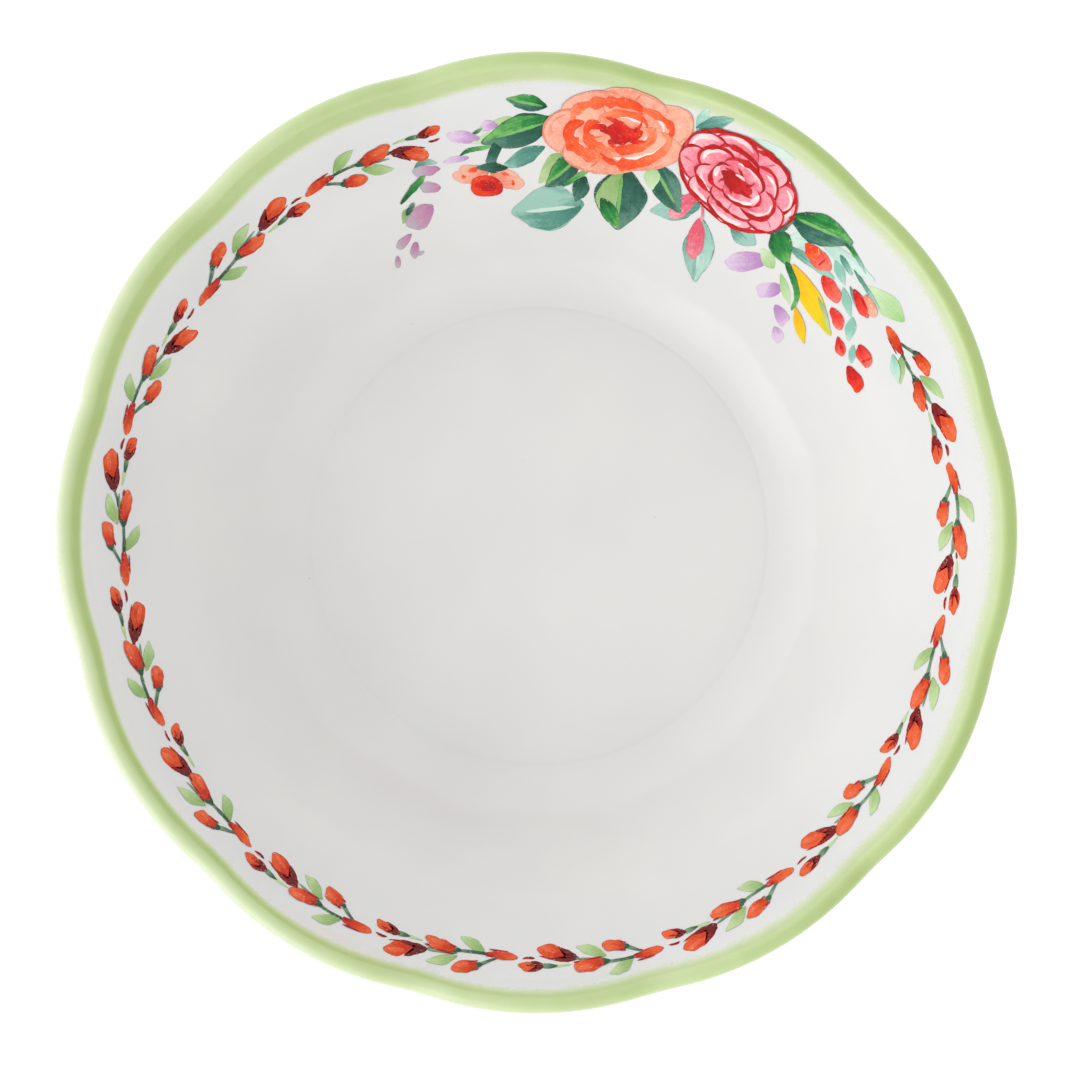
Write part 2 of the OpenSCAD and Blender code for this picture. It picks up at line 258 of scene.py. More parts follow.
class Nodes:
    """A material's node tree with short calls."""

    def __init__(self, name):
        self.material = bpy.data.materials.new(name)
        self.material.use_nodes = True
        self.tree = self.material.node_tree
        self.tree.nodes.clear()
        self.shader = self.add("ShaderNodeBsdfPrincipled")
        out = self.add("ShaderNodeOutputMaterial")
        self.link(self.shader.outputs[0], out.inputs[0])
        self.place = self.add("ShaderNodeTexCoord").outputs["Object"]

    def add(self, kind, **settings):
        node = self.tree.nodes.new(kind)
        for key, value in settings.items():
            setattr(node, key, value)
        return node

    def link(self, a, b):
        self.tree.links.new(a, b)

    def feed(self, value, socket):
        if isinstance(value, (int, float, tuple)):
            socket.default_value = value
        else:
            self.link(value, socket)

    def math(self, operation, a, b=0.0, clamp=False):
        node = self.add("ShaderNodeMath", operation=operation, use_clamp=clamp)
        self.feed(a, node.inputs[0])
        self.feed(b, node.inputs[1])
        return node.outputs[0]

    def noise(self, size_mm, detail=3.0, rough=0.5, stretch=(1.0, 1.0, 1.0), distort=0.0):
        where = self.place
        if stretch != (1.0, 1.0, 1.0):
            mapping = self.add("ShaderNodeMapping")
            mapping.inputs["Scale"].default_value = stretch
            self.link(where, mapping.inputs["Vector"])
            where = mapping.outputs[0]
        node = self.add("ShaderNodeTexNoise")
        node.inputs["Scale"].default_value = 1000 / size_mm
        node.inputs["Detail"].default_value = detail
        node.inputs["Roughness"].default_value = rough
        node.inputs["Distortion"].default_value = distort
        self.link(where, node.inputs["Vector"])
        return node.outputs["Fac"]

    def attribute(self, name):
        return self.add("ShaderNodeAttribute", attribute_name=name).outputs["Fac"]

    def fit(self, value, low, high, to_low=0.0, to_high=1.0):
        node = self.add("ShaderNodeMapRange", clamp=True)
        self.link(value, node.inputs["Value"])
        for socket, number in zip(node.inputs[1:5], (low, high, to_low, to_high)):
            socket.default_value = number
        return node.outputs[0]

    def ramp(self, value, stops, colour=linear):
        node = self.add("ShaderNodeValToRGB")
        band = node.color_ramp
        while len(band.elements) < len(stops):
            band.elements.new(0.5)
        for element, (at, rgb) in zip(band.elements, stops):
            element.position = at
            element.color = colour(rgb)
        self.link(value, node.inputs[0])
        return node.outputs[0]

    def mix(self, share, a, b, blend="MIX"):
        node = self.add("ShaderNodeMix", data_type="RGBA", blend_type=blend)
        self.feed(share, node.inputs[0])
        self.feed(a, node.inputs[6])
        self.feed(b, node.inputs[7])
        return node.outputs[2]

    def bump(self, height, depth_mm, strength=1.0, after=None):
        node = self.add("ShaderNodeBump")
        node.inputs["Distance"].default_value = depth_mm * MM
        node.inputs["Strength"].default_value = strength
        self.link(height, node.inputs["Height"])
        if after is not None:
            self.link(after, node.inputs["Normal"])
        return node.outputs[0]


WHITE = (225, 225, 223)


def glaze_white(n):
    """The colour of clear glaze over white clay, with a faint cast and a few fine specks."""
    cloud = n.noise(38, 2.0)
    tone = n.ramp(cloud, [(0.3, (223, 223, 222)), (0.7, (227, 227, 225))])
    speck = n.add("ShaderNodeTexVoronoi", feature="F1")
    speck.inputs["Scale"].default_value = 1000 / 9
    n.link(n.place, speck.inputs["Vector"])
    dot = n.fit(speck.outputs["Distance"], 0.02, 0.035, 1.0, 0.0)
    rare = n.fit(n.noise(14, 1.0), 0.6, 0.66)
    return n.mix(n.math("MULTIPLY", dot, n.math("MULTIPLY", rare, 0.35)), tone, linear((150, 138, 120)))


def gloss(n, rough=0.07, spread=0.05):
    """Glassy roughness with faint smears, and the soft orange peel of a poured glaze."""
    smear = n.noise(16, 3.0, 0.6)
    n.link(n.fit(smear, 0.35, 0.75, rough, rough + spread), n.shader.inputs["Roughness"])
    peel = n.bump(n.noise(9, 1.5, 0.4), 0.035)
    fine = n.bump(n.noise(1.6, 1.0, 0.4), 0.0016, 1.0, peel)
    n.link(fine, n.shader.inputs["Normal"])
    n.shader.inputs["IOR"].default_value = 1.5


def glaze_material():
    """The coat inside the bowl. Its upper wall is painted a little darker and cooler, as painted shade."""
    n = Nodes("white_glaze")
    split = n.add("ShaderNodeSeparateXYZ")
    n.link(n.place, split.inputs[0])
    height = n.math("ADD", split.outputs[2], n.math("MULTIPLY", n.noise(20, 1.0), 0.004))
    # painted shade: the upper wall's white is multiplied a little darker and cooler
    thin_coat_and_painted_shade = n.mix(1.0, glaze_white(n), (0.925, 0.93, 0.942, 1.0), "MULTIPLY")
    n.link(n.mix(n.fit(height, 0.045, 0.069), glaze_white(n), thin_coat_and_painted_shade), n.shader.inputs["Base Color"])
    gloss(n, 0.13, 0.07)
    n.shader.inputs["Specular IOR Level"].default_value = 0.36
    return n.material


def base_material():
    """Glaze under the bowl, over the faint rings that turning leaves."""
    n = Nodes("base_glaze")
    n.link(glaze_white(n), n.shader.inputs["Base Color"])
    gloss(n, 0.1, 0.08)
    rings = n.add("ShaderNodeTexWave", wave_type="RINGS", rings_direction="Z")
    rings.inputs["Scale"].default_value = 95
    rings.inputs["Distortion"].default_value = 1.2
    rings.inputs["Detail"].default_value = 2
    n.link(n.place, rings.inputs["Vector"])
    n.link(n.bump(rings.outputs["Fac"], 0.03), n.shader.inputs["Normal"])
    return n.material


def bisque_material(name="bisque", glazed_above_mm=None):
    """Dry fired clay with a fine sandy grain, running into glaze above a height if one is given."""
    n = Nodes(name)
    grain = n.noise(0.7, 4.0, 0.65)
    clay = n.ramp(grain, [(0.3, (203, 194, 178)), (0.55, (226, 219, 206)), (0.8, (236, 231, 221))])
    normal = n.bump(grain, 0.06)
    if glazed_above_mm is None:
        n.link(clay, n.shader.inputs["Base Color"])
        n.shader.inputs["Roughness"].default_value = 0.85
    else:
        split = n.add("ShaderNodeSeparateXYZ")
        n.link(n.place, split.inputs[0])
        height = n.math("ADD", split.outputs[2], n.math("MULTIPLY", n.noise(5, 2.0), 0.0005))
        low = (glazed_above_mm + 0.2) * MM
        share = n.fit(height, low, low + 0.00012)
        n.link(n.mix(share, clay, glaze_white(n)), n.shader.inputs["Base Color"])
        n.link(n.fit(share, 0, 1, 0.85, 0.1), n.shader.inputs["Roughness"])
    n.link(normal, n.shader.inputs["Normal"])
    return n.material


def band_material():
    """Green enamel sprayed over the lip. The attribute set by rim_band is the coat's thickness, 0 for none,
    with painted highlight and painted shade worked into it.
    """
    n = Nodes("green_enamel")
    drift = n.math("MULTIPLY", n.math("SUBTRACT", n.noise(9, 2.0), 0.5), 0.22)
    mist = n.math("MULTIPLY", n.math("SUBTRACT", n.noise(0.45, 2.0, 0.7), 0.5), 0.16)
    drops = n.fit(n.noise(0.8, 2.0, 0.6), 0.4, 0.62)
    thin_coat_and_painted_shade = n.fit(n.attribute("spray"), 0.0, 0.5)
    speckled = n.math(
        "MULTIPLY", n.math("SUBTRACT", drops, 0.5), n.math("MULTIPLY", n.math("SUBTRACT", 1.0, thin_coat_and_painted_shade), 0.3)
    )
    cover = n.math("ADD", n.attribute("spray"), n.math("ADD", drift, n.math("ADD", mist, speckled)))
    stops = [
        (0.0, (218, 218, 217)), (0.1, (218, 218, 217)), (0.3, (206, 214, 187)), (0.52, (196, 209, 165))
    ]
    stops += [(0.76, (182, 201, 143)), (1.0, (168, 189, 118))]
    n.link(n.ramp(cover, stops), n.shader.inputs["Base Color"])
    gloss(n)
    return n.material


def enamel(name, stops, blotch=0.5, size_mm=5.0, edge=0.82, streak=0.35, chips=0.5, speckle=0.0):
    """A painted enamel. Attribute along runs from a stroke's base at 0 to its tip at 1, across from one
    side at -1 to the other at 1, edge is 0 at the stroke's outline, and tint is a shift of its own."""
    n = Nodes(name)
    along, across = n.attribute("along"), n.attribute("across")
    wash = n.noise(size_mm, 4.0, 0.65, distort=0.8)
    brush = n.add("ShaderNodeCombineXYZ")
    n.link(n.math("MULTIPLY", along, 1.3), brush.inputs[0])
    n.link(n.math("MULTIPLY", across, 4.2), brush.inputs[1])
    n.link(n.math("MULTIPLY", n.attribute("tint"), 40.0), brush.inputs[2])
    hair = n.add("ShaderNodeTexNoise")
    hair.inputs["Scale"].default_value = 1.0
    hair.inputs["Detail"].default_value = 3.0
    n.link(brush.outputs[0], hair.inputs["Vector"])
    grain = n.noise(0.8, 3.0, 0.65)
    shift = n.math("MULTIPLY", n.math("SUBTRACT", wash, 0.5), blotch * 2)
    shift = n.math(
        "ADD", shift, n.math("MULTIPLY", n.math("SUBTRACT", hair.outputs["Fac"], 0.5), streak * 2)
    )
    shift = n.math("ADD", shift, n.math("MULTIPLY", n.math("SUBTRACT", grain, 0.5), 0.5))
    shade = n.math("ADD", along, n.math("ADD", shift, n.attribute("tint")))
    colour = n.ramp(shade, stops, paint_colour)
    ragged = n.math("MULTIPLY", n.math("SUBTRACT", n.noise(1.0, 2.0, 0.6), 0.5), 0.34)
    rim = n.math("ADD", n.attribute("edge"), ragged)
    dark = n.mix(1.0, colour, (edge, edge, edge, 1.0), "MULTIPLY")
    colour = n.mix(n.fit(rim, 0.03, 0.17), dark, colour)
    bare = n.fit(n.noise(0.7, 2.0, 0.6), 0.6, 0.68)
    near = n.fit(n.attribute("edge"), 0.1, 0.3, chips, speckle)
    colour = n.mix(n.math("MULTIPLY", bare, near), colour, paint_colour((244, 236, 230)))
    n.link(colour, n.shader.inputs["Base Color"])
    gloss(n, 0.1, 0.08)
    n.shader.inputs["Specular IOR Level"].default_value = 0.28
    return n.material


def ramp3(dark, middle, light):
    return [(0.0, dark), (0.5, middle), (1.0, light)]


INKS = {
    "bud": enamel("bud_red", ramp3((184, 44, 22), (210, 72, 40), (232, 104, 64)), 0.7, 3.0, 0.8),
    "bud_dark": enamel("bud_maroon", ramp3((98, 22, 10), (130, 28, 14), (172, 44, 20)), 0.5, 2.5, 0.9, 0.5),
    "bud_light": enamel("bud_orange", ramp3((216, 84, 50), (226, 98, 62), (236, 118, 84)), 0.5, 3.0, 1.0),
    "stem": enamel("stem_teal", ramp3((54, 86, 64), (78, 110, 84), (124, 158, 124)), 0.4, 3.0, 0.9),
    "leaf": enamel("leaf_green", ramp3((134, 172, 100), (160, 190, 126), (190, 212, 158)), 0.35, 4.0, 0.9),
    "pale_leaf": enamel(
        "leaf_pale", ramp3((162, 204, 134), (184, 216, 160), (210, 230, 194)), 0.35, 5.0, 0.94
    ),
    "bright": enamel(
        "leaf_bright", ramp3((34, 98, 60), (58, 142, 74), (124, 188, 106)), 0.55, 4.0, 0.8, 0.55
    ),
    "dark": enamel("leaf_dark", ramp3((40, 84, 68), (64, 110, 96), (108, 148, 130)), 0.5, 4.5, 0.78, 0.55),
    "teal": enamel(
        "leaf_teal", ramp3((76, 134, 118), (102, 158, 142), (162, 204, 190)), 0.45, 6.0, 0.86, 0.5
    ),
    "mist": enamel(
        "leaf_mist", ramp3((140, 196, 178), (178, 216, 200), (208, 230, 218)), 0.45, 6.0, 0.92, 0.5
    ),
    "salmon": enamel(
        "petal_salmon",
        ramp3((236, 126, 96), (243, 156, 130), (247, 184, 160)),
        0.6,
        4.0,
        0.86,
        0.5,
        0.6,
        0.5,
    ),
    "orange": enamel(
        "petal_orange", ramp3((240, 76, 34), (248, 106, 62), (253, 148, 110)), 0.6, 4.0, 0.86, 0.5, 0.5, 0.2
    ),
    "red": enamel(
        "petal_red", ramp3((186, 12, 8), (216, 30, 14), (240, 72, 34)), 0.6, 3.0, 0.82, 0.4, 0.3, 0.1
    ),
    "pink": enamel(
        "petal_pink", ramp3((228, 96, 116), (240, 132, 148), (249, 178, 188)), 0.6, 3.5, 0.9, 0.5, 0.2, 0.35
    ),
    "blush": enamel(
        "petal_blush", ramp3((248, 190, 194), (249, 214, 212), (247, 236, 232)), 0.5, 3.0, 0.96, 0.4
    ),
    "crimson": enamel(
        "line_crimson", ramp3((170, 14, 26), (196, 24, 38), (216, 60, 70)), 0.6, 2.5, 0.9, 0.4, 0.12
    ),
    "lilac": enamel(
        "petal_lilac", ramp3((184, 136, 192), (202, 160, 206), (226, 204, 228)), 0.35, 4.0, 0.9
    ),
    "mauve": enamel(
        "petal_mauve", ramp3((186, 128, 168), (200, 150, 180), (190, 186, 194)), 0.35, 4.0, 0.9
    ),
    "yellow": enamel(
        "petal_yellow", ramp3((248, 186, 20), (253, 208, 40), (208, 208, 44)), 0.35, 4.0, 0.88, 0.45
    ),
    "berry": enamel("berry_red", ramp3((210, 34, 26), (238, 76, 66), (248, 124, 108)), 0.55, 3.0, 0.82),
    "white": enamel(
        "petal_white", ramp3((246, 214, 204), (244, 236, 232), (246, 242, 238)), 0.5, 3.0, 0.95, 0.5
    ),
}


# ---------------------------------------------------------------------------
# Painting on the inner wall
# ---------------------------------------------------------------------------
T_TABLE = np.linspace(0, 1, 400)
R_TABLE = wall_point(T_TABLE)[:, 0]


def wall_surface(t, a):
    p = wall_point(t)
    share = swell(t)
    w = wave(a) * share
    r = p[:, 0] + RIM_PINCH * w
    return np.stack([r * np.cos(a), r * np.sin(a), p[:, 1] + RIM_DIP * w], -1)


def on_wall(xy, lift):
    """Points of the inner wall under plan points in millimetres, raised by lift, and their normals."""
    xy = np.asarray(xy, float)
    a, r = np.arctan2(xy[:, 1], xy[:, 0]), np.hypot(xy[:, 0], xy[:, 1])
    t = np.interp(r, R_TABLE, T_TABLE)
    for _ in range(4):
        t = np.interp(r - RIM_PINCH * wave(a) * swell(t), R_TABLE, T_TABLE)
    up = wall_surface(np.clip(t + 1e-3, 0, 1), a) - wall_surface(np.clip(t - 1e-3, 0, 1), a)
    n = np.cross(up, wall_surface(t, a + 1e-3) - wall_surface(t, a - 1e-3))
    n /= np.linalg.norm(n, axis=1, keepdims=True)
    return wall_surface(t, a) + lift * n, n


def spline(points, closed, step=0.7):
    """A smooth curve through points, as a dense list of points."""
    p = np.array(points, float)
    count = len(p)
    out = []
    for i in range(count if closed else count - 1):
        p0 = p[(i - 1) % count] if closed or i else 2 * p[0] - p[1]
        p1, p2 = p[i], p[(i + 1) % count]
        p3 = p[(i + 2) % count] if closed or i + 2 < count else 2 * p[-1] - p[-2]
        n = max(2, math.ceil(np.linalg.norm(p2 - p1) / step))
        s = np.arange(n)[:, None] / n
        out.append(
            0.5
            * (
                2 * p1
                + (p2 - p0) * s
                + (2 * p0 - 5 * p1 + 4 * p2 - p3) * s**2
                + (3 * p1 - p0 - 3 * p2 + p3) * s**3
            )
        )
    if not closed:
        out.append(p[-1:])
    return np.concatenate(out)


# How far the first stroke of a painting stands off the glaze, and each next one off the last
FIRST_LIFT = 0.03
LAYER_LIFT = 0.008
PATCH_STEP = 0.6  # between the points of a painted area's outline, in millimetres


class Painting:
    """The strokes of one printed motif. Strokes are laid on in order, each a hair above the last."""

    def __init__(self, name, slot, nodes, bend=None, seed=1):
        self.name, self.slot, self.nodes = name, slot, nodes
        self.bend = bend or (lambda p: p)
        self.random = random.Random(seed)
        self.points, self.normals, self.faces, self.inks = [], [], [], []
        self.face_ink, self.values, self.count, self.layer, self.pale = [], [], 0, 0, 0.0

    def put(self, flat, faces, ink, along, across, edge, tint):
        plan = self.bend(np.asarray(flat, float))
        xyz, n = on_wall(plan, FIRST_LIFT + LAYER_LIFT * self.layer)
        self.layer += 1
        f0 = faces[0]
        turn = np.cross(xyz[f0[1]] - xyz[f0[0]], xyz[f0[2]] - xyz[f0[0]]) @ n[f0[0]]
        if turn < 0:
            faces = [f[::-1] for f in faces]
        if ink not in self.inks:
            self.inks.append(ink)
        self.points.append(xyz)
        self.normals.append(n)
        self.faces += [[i + self.count for i in f] for f in faces]
        self.face_ink += [self.inks.index(ink)] * len(faces)
        tint = tint + self.pale + self.random.uniform(-0.06, 0.06)
        self.values.append(np.stack([along, across, edge, np.full(len(xyz), tint)], -1))
        self.count += len(xyz)

    def tremble(self, count, size, closed):
        """A smooth wandering number per point, as an unsteady brush gives."""
        knots = max(3, count // 3)
        way = np.array([self.random.gauss(0, size) for _ in range(knots)])
        if closed:
            way = np.append(way, way[0])
        return np.interp(np.linspace(0, len(way) - 1, count, endpoint=not closed), np.arange(len(way)), way)

    def patch(self, ink, outline, tint=0.0, axis=None, rough=0.13):
        """A painted area inside a smooth outline. along runs from axis[0] to axis[1]."""
        rim = spline(outline, True, PATCH_STEP)
        middle = rim.mean(0)
        away = rim - middle
        away /= np.linalg.norm(away, axis=1, keepdims=True)
        rim = rim + away * self.tremble(len(rim), rough, True)[:, None]
        reach = np.linalg.norm(rim - middle, axis=1)
        rings = max(2, math.ceil(np.median(reach) / 1.1))
        parts = [middle + (rim - middle) * k / rings for k in range(rings, 0, -1)] + [middle[None]]
        flat = np.concatenate(parts)
        n = len(rim)
        faces = strip_faces(rings, n).tolist()
        faces += [[(rings - 1) * n + j, rings * n, (rings - 1) * n + (j + 1) % n] for j in range(n)]
        start, end = np.array(axis if axis is not None else (rim[0], 2 * middle - rim[0]), float)
        d = end - start
        along = np.clip((flat - start) @ d / (d @ d), 0, 1)
        across = (flat - start) @ np.array([-d[1], d[0]]) / np.linalg.norm(d)
        across = across / max(1.0, np.abs(across).max())
        edge = np.concatenate([np.full(n, 1 - k / rings) for k in range(rings, 0, -1)] + [[1.0]])
        edge = np.clip(edge * np.median(reach) / 2.5, 0, 1)
        self.put(flat, faces, ink, along, across, edge, tint)

    def line(self, ink, points, width, tint=0.0, taper=(0.25, 0.3), wobble=0.12):
        """A brush line through points, thin at both ends."""
        path = spline(points, False, 0.5)
        d = np.gradient(path, axis=0)
        d /= np.linalg.norm(d, axis=1, keepdims=True)
        side = np.stack([-d[:, 1], d[:, 0]], -1)
        s = np.linspace(0, 1, len(path))
        press = np.minimum(1, s / taper[0] if taper[0] else 1) * np.minimum(
            1, (1 - s) / taper[1] if taper[1] else 1
        )
        half = width / 2 * np.sqrt(np.clip(press, 0.02, 1)) * (1 + self.tremble(len(path), wobble, False))
        shares = np.array([-1, -0.5, 0, 0.5, 1])
        flat = path[:, None] + side[:, None] * half[:, None, None] * shares[None, :, None]
        rows, m = len(path), len(shares)
        faces = [
            [i * m + j, (i + 1) * m + j, (i + 1) * m + j + 1, i * m + j + 1]
            for i in range(rows - 1)
            for j in range(m - 1)
        ]
        along = np.repeat(s, m)
        edge = np.tile(1 - np.abs(shares), rows) * np.clip(width / 2.5, 0.3, 1)
        self.put(flat.reshape(-1, 2), faces, ink, along, np.tile(shares, rows), edge, tint)

    def shape(self, ink, base, tip, width, outline, tint=0.0, rough=0.1):
        """A patch drawn from (along, across) shares between a base and a tip."""
        base, tip = np.array(base, float), np.array(tip, float)
        d = tip - base
        across = np.array([-d[1], d[0]]) / np.linalg.norm(d) * width
        self.patch(ink, [base + d * s + across * w for s, w in outline], tint, (base, tip), rough=rough)

    def leaf(self, ink, base, tip, width, tint=0.0, bow=0.0):
        outline = [(0, 0), (0.18, 0.27), (0.42, 0.46), (0.66, 0.4), (0.86, 0.2), (1, 0)]
        outline += [(0.84, -0.22), (0.62, -0.42), (0.38, -0.47), (0.16, -0.26)]
        outline = [(s, w + bow * math.sin(math.pi * s)) for s, w in outline]
        self.shape(ink, base, tip, width, outline, tint)

    def two_tone_leaf(self, ink, half_ink, base, tip, width, side, tint=0.0, half_tint=0.0):
        """A leaf with its left (1) or right (-1) half in a second paint, and a light vein."""
        self.leaf(ink, base, tip, width, tint)
        half = [
            (0.03, 0),
            (0.18, 0.25),
            (0.42, 0.43),
            (0.66, 0.38),
            (0.86, 0.19),
            (0.97, 0),
            (0.64, 0.06),
            (0.3, 0.05),
        ]
        self.shape(half_ink, base, tip, width, [(s, side * w) for s, w in half], half_tint, 0.25)
        vein = "mist" if ink == "teal" else "bright"
        self.line(
            vein, between(base, tip, 0.12, 0.45, 0.8, side=0.02 * width * side), 0.5 + 0.04 * width, 0.7
        )

    def bud(self, ink, base, tip, width, tint=0.0):
        lean, blunt = self.random.uniform(-0.16, 0.16), self.random.uniform(-0.05, 0.05)
        outline = [(0, 0), (0.1, 0.22), (0.32, 0.42), (0.6, 0.5), (0.83 + blunt, 0.43 + 0.2 * lean)]
        outline += [(0.97, 0.2 + lean), (1.01, -0.03 + lean), (0.93 + blunt, -0.26 + lean), (0.74, -0.45)]
        outline += [(0.48, -0.49), (0.24, -0.38), (0.08, -0.2)]
        self.shape(ink, base, tip, width, outline, tint, 0.16)

    def round(self, ink, centre, rx, ry, turn=0.0, tint=0.0, uneven=0.06):
        a = np.arange(12) * math.pi / 6
        c, s = math.cos(math.radians(turn)), math.sin(math.radians(turn))
        rough = 1 + uneven * np.array([self.random.uniform(-1, 1) for _ in a])
        x, y = rx * np.cos(a) * rough, ry * np.sin(a) * rough
        self.patch(ink, np.stack([centre[0] + x * c - y * s, centre[1] + x * s + y * c], -1), tint)

    def piece(self):
        made = add_mesh(self.name, np.concatenate(self.points), self.faces, np.concatenate(self.normals))
        made.data.polygons.foreach_set("material_index", self.face_ink)
        values = np.concatenate(self.values)
        for k, name in enumerate(("along", "across", "edge", "tint")):
            set_values(made, name, values[:, k])
        return finish_piece(made, self.nodes, [INKS[i] for i in self.inks])


# ---------------------------------------------------------------------------
# The garland
# ---------------------------------------------------------------------------
DEGREE = GARLAND_R * math.pi / 180


def sprig_bend(k):
    """Flat garland points, along it and towards the rim in millimetres, to plan points."""
    side = 1 if k % 2 == 0 else -1
    first = SPRIG_ANGLES[0] + SPRIG_PITCH if k < 0 else SPRIG_ANGLES[k]
    pitch = first - SPRIG_ANGLES[k + 1]

    def bend(p):
        u = p[:, 0] / DEGREE
        base = GARLAND_R - SPRIG_IN[max(k, 0)]
        a = np.radians(first - u * np.where(u > 0, pitch / SPRIG_PITCH, 1))
        r = base - GARLAND_SHIFT * np.sin(a) + side * p[:, 1]
        return np.stack([r * np.cos(a), r * np.sin(a)], -1)

    return bend


def at(degrees, out):
    return (degrees * DEGREE, out)


# The dark sepals round a bud's base, drawn up both its sides with a notch between them
SEPALS = [(-0.02, 0), (0.08, 0.22), (0.26, 0.43), (0.5, 0.5), (0.46, 0.33), (0.3, 0.14), (0.2, -0.02)]
SEPALS += [(0.34, -0.2), (0.6, -0.38), (0.62, -0.5), (0.3, -0.44), (0.1, -0.25)]


def jitter(p, spot, size=0.35):
    return (spot[0] + p.random.uniform(-size, size), spot[1] + p.random.uniform(-size, size))


def between(base, tip, *shares, side=0.0):
    """Points at shares of the way from base to tip, moved sideways in millimetres."""
    d = np.subtract(tip, base)
    across = np.array([-d[1], d[0]]) / np.linalg.norm(d) * side
    return [np.add(base, d * share) + across for share in shares]


def calyx(p, base, tip, width, reach):
    p.shape(
        "stem",
        base,
        tip,
        width,
        [(-0.1, 0), (0.02, 0.3), (reach, 0.22), (0.6 * reach, 0), (reach, -0.24), (0.02, -0.3)],
    )


def sprig_head(p):
    """The large bud, and the small one on its other side with a fading tail."""
    base, tip = jitter(p, at(-2.7, 0.7)), jitter(p, at(2.7, 4.0), 0.5)
    width = p.random.uniform(3.9, 4.4)
    p.line("stem", [at(-5.0, -0.6), at(-3.9, -0.2), (base[0] + 0.8, base[1] + 0.2)], 0.8, 0.1)
    p.bud("bud", base, tip, width)
    p.line("bud_light", between(base, tip, 0.5, 0.7, 0.92, side=0.5), 1.1, 0.1)
    p.shape("bud_dark", base, tip, width * 0.98, SEPALS, 0.0, 0.16)
    p.line("bud_dark", between(base, tip, 0.04, 0.2, 0.36, side=0.2 * width), 0.7, -0.3)
    p.line("bud_dark", between(base, tip, 0.56, 0.76, 0.92, side=-0.46 * width), 0.4, 0.5)
    p.line("leaf", [at(-1.9, -0.9), at(-0.8, -1.0), at(0.4, -1.05)], 0.9, 0.5, (0.8, 0.2))
    base, tip = jitter(p, at(1.6, -1.0), 0.25), jitter(p, at(5.2, -1.6), 0.5)
    p.line("stem", [at(-0.1, -1.05), at(0.8, -1.0), (base[0] + 0.6, base[1])], 1.3, 0.1, (0.5, 0.1))
    width = p.random.uniform(2.5, 2.9)
    p.bud("bud", base, tip, width, 0.05)
    p.shape("bud_dark", base, tip, width, SEPALS, 0.1, 0.12)
    p.line("bud_dark", between(base, tip, 0.3, 0.55, 0.75, side=0.4), 0.45, 0.4)
    p.line("bud_dark", [at(3.0, 1.1), at(3.8, 1.25), at(4.7, 1.0)], 0.6, 0.2)


def sprig_branch(p):
    """The branch that leads on to the next sprig, with three buds and two leaves."""
    p.leaf("leaf", at(9.9, 2.0), jitter(p, at(13.5, 5.0), 0.5), 3.1, 0.0, 0.1)
    p.leaf("leaf", at(13.5, -0.3), jitter(p, at(17.6, -3.5), 0.5), 3.1, 0.1, -0.1)
    p.line("stem", [at(9.4, 1.5), at(11.6, 1.5), at(14.0, 1.2)], 0.75, 0.0, (0.1, 0.1))
    p.line("stem", [at(7.9, 0.8), at(9.2, -0.3), at(10.7, -2.0)], 1.0, 0.1, (0.7, 0.1))
    p.line("stem", [at(13.6, 0.4), at(15.4, 0.0), at(17.6, -0.6)], 0.6, 0.2)
    base, tip = at(9.9, 1.6), jitter(p, at(5.3, 1.1), 0.4)
    p.bud("bud", base, tip, 2.3)
    p.line("bud_dark", between(base, tip, 0.02, 0.16, 0.3, side=0.5), 0.6, 0.5)
    p.line("bud_dark", between(base, tip, 0.1, 0.4, 0.7, side=-1.2), 0.4, 0.6)
    base, tip = at(10.3, -1.7), jitter(p, at(13.9, -3.4), 0.4)
    width = p.random.uniform(3.0, 3.5)
    p.bud("bud", base, tip, width, 0.1)
    p.line("bud_light", between(base, tip, 0.4, 0.62, 0.88, side=0.5), 1.0, 0.1)
    for side in (-0.3, 0.34):
        p.line(
            "bud_dark",
            between(base, tip, 0.06, 0.16, 0.26 + p.random.uniform(0, 0.16), side=side * width),
            0.45,
            0.5,
        )
    calyx(p, base, tip, 2.3, 0.16)
    base, tip = at(13.5, 1.2), jitter(p, at(18.3, 1.9), 0.4)
    width = p.random.uniform(3.1, 3.6)
    p.bud("bud", base, tip, width, 0.1)
    p.line("bud_light", between(base, tip, 0.4, 0.62, 0.88, side=0.5), 1.1, 0.1)
    p.line("bud_dark", between(base, tip, 0.1, 0.36, 0.62, side=-0.42 * width), 0.5, 0.6)
    p.line("bud_dark", between(base, tip, 0.06, 0.14, 0.3, side=0.2 * width), 0.5, 0.6)
    p.line("bud_dark", between(base, tip, 0.8, 0.92, 1.0, side=-0.36 * width), 0.45, 0.3)
    calyx(p, base, tip, 2.3, 0.14)


def garland():
    lead = Painting("painted_garland_lead_in", "bud_red_enamel", ["garland_lead_in"], sprig_bend(-1), 5)
    sprig_branch(lead)
    lead.piece()
    for k in range(SPRIGS):
        name = f"garland_sprig_{k + 1:02d}"
        p = Painting("painted_" + name, "bud_red_enamel", [name], sprig_bend(k), 11 + k)
        # the print is a little thinner on the right
        p.pale = 0.3 * max(0.0, math.cos(math.radians(SPRIG_ANGLES[k] + 10))) ** 2
        sprig_head(p)
        if k < SPRIGS - 1:
            sprig_branch(p)
        p.piece()


# ---------------------------------------------------------------------------
# The spray, in plan millimetres from the bowl's axis
# ---------------------------------------------------------------------------
def light_leaves():
    p = Painting("painted_light_leaves", "light_green_enamel", ["light_leaves"], seed=31)
    p.leaf("leaf", (-4, 121.3), (-13, 121.6), 3.0, 0.3)
    p.leaf("pale_leaf", (-10, 118.6), (-19.5, 115.8), 2.8, 0.1)
    p.leaf("leaf", (9.5, 113.5), (0.5, 105.5), 6.5, 0.1)
    p.leaf("leaf", (-38.5, 98), (-40.5, 93.5), 2.6, -0.3)
    p.leaf("pale_leaf", (71, 79.5), (67, 85.5), 4.0)
    p.leaf("pale_leaf", (73, 78), (76, 69), 2.8)
    p.leaf("pale_leaf", (108.5, 62), (97.5, 73), 6.0)
    p.piece()


